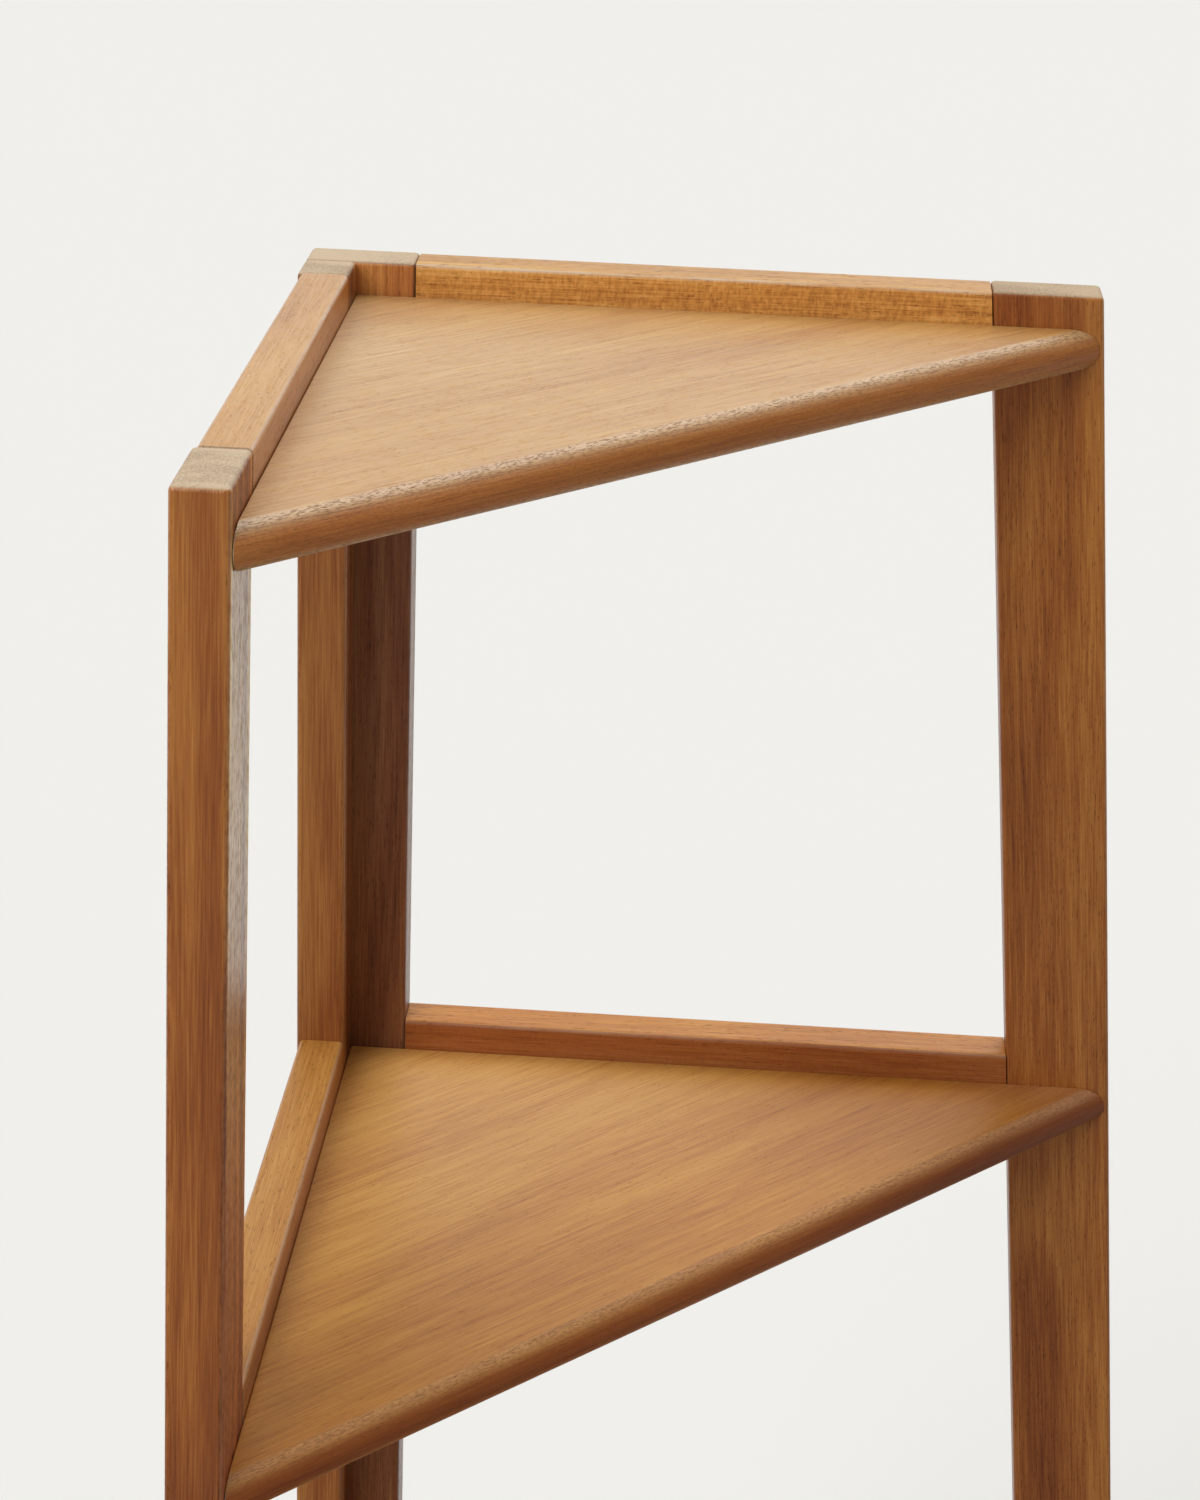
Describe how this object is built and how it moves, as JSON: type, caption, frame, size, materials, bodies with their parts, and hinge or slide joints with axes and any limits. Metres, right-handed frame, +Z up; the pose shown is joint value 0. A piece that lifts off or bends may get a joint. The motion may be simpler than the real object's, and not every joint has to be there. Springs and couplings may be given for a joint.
{
  "type": "corner shelving unit",
  "caption": "Tall outdoor corner shelving unit in oiled hardwood: ladder frames bolted at a right angle carry triangular bullnosed shelves that grow towards the floor.",
  "frame": {"origin": "on the floor, in the middle of the unit's rectangular footprint", "axes": "+Z up; the right-hand ladder frame stands along the +Y side, the left-hand one along the -X side, and the shelves' long front edges face +X and -Y"},
  "size_m": [0.6237, 0.6357, 1.63],
  "materials": {
    "posts": "satin oiled hardwood, warm reddish brown, grain along the post",
    "rails": "satin oiled hardwood, golden brown, grain along the rail",
    "shelves": "satin oiled hardwood board, light honey brown, grain along the front edge",
    "bolts": "zinc plated, hexagon socket",
    "inserts": "yellow zinc plated",
    "glides": "brown nylon"
  },
  "bodies": {
    "root": {"right_corner_post": "posts", "right_front_post": "posts", "left_corner_post": "posts", "left_front_post": "posts", "top_right_rail": "rails", "top_left_rail": "rails", "upper_right_rail": "rails", "upper_left_rail": "rails", "lower_right_rail": "rails", "lower_left_rail": "rails", "bottom_right_rail": "rails", "bottom_left_rail": "rails", "top_shelf": "shelves", "upper_shelf": "shelves", "lower_shelf": "shelves", "bottom_shelf": "shelves", "top_right_back_bolt": "bolts", "top_right_back_insert": "inserts", "top_right_front_bolt": "bolts", "top_right_front_insert": "inserts", "top_left_back_bolt": "bolts", "top_left_back_insert": "inserts", "top_left_front_bolt": "bolts", "top_left_front_insert": "inserts", "top_corner_bolt": "bolts", "top_corner_insert": "inserts", "upper_right_back_bolt": "bolts", "upper_right_back_insert": "inserts", "upper_right_front_bolt": "bolts", "upper_right_front_insert": "inserts", "upper_left_back_bolt": "bolts", "upper_left_back_insert": "inserts", "upper_left_front_bolt": "bolts", "upper_left_front_insert": "inserts", "upper_corner_bolt": "bolts", "upper_corner_insert": "inserts", "lower_right_back_bolt": "bolts", "lower_right_back_insert": "inserts", "lower_right_front_bolt": "bolts", "lower_right_front_insert": "inserts", "lower_left_back_bolt": "bolts", "lower_left_back_insert": "inserts", "lower_left_front_bolt": "bolts", "lower_left_front_insert": "inserts", "lower_corner_bolt": "bolts", "lower_corner_insert": "inserts", "bottom_right_back_bolt": "bolts", "bottom_right_back_insert": "inserts", "bottom_right_front_bolt": "bolts", "bottom_right_front_insert": "inserts", "bottom_left_back_bolt": "bolts", "bottom_left_back_insert": "inserts", "bottom_left_front_bolt": "bolts", "bottom_left_front_insert": "inserts", "bottom_corner_bolt": "bolts", "bottom_corner_insert": "inserts", "right_corner_glide": "glides", "right_front_glide": "glides", "left_corner_glide": "glides", "left_front_glide": "glides"}
  },
  "joints": []
}
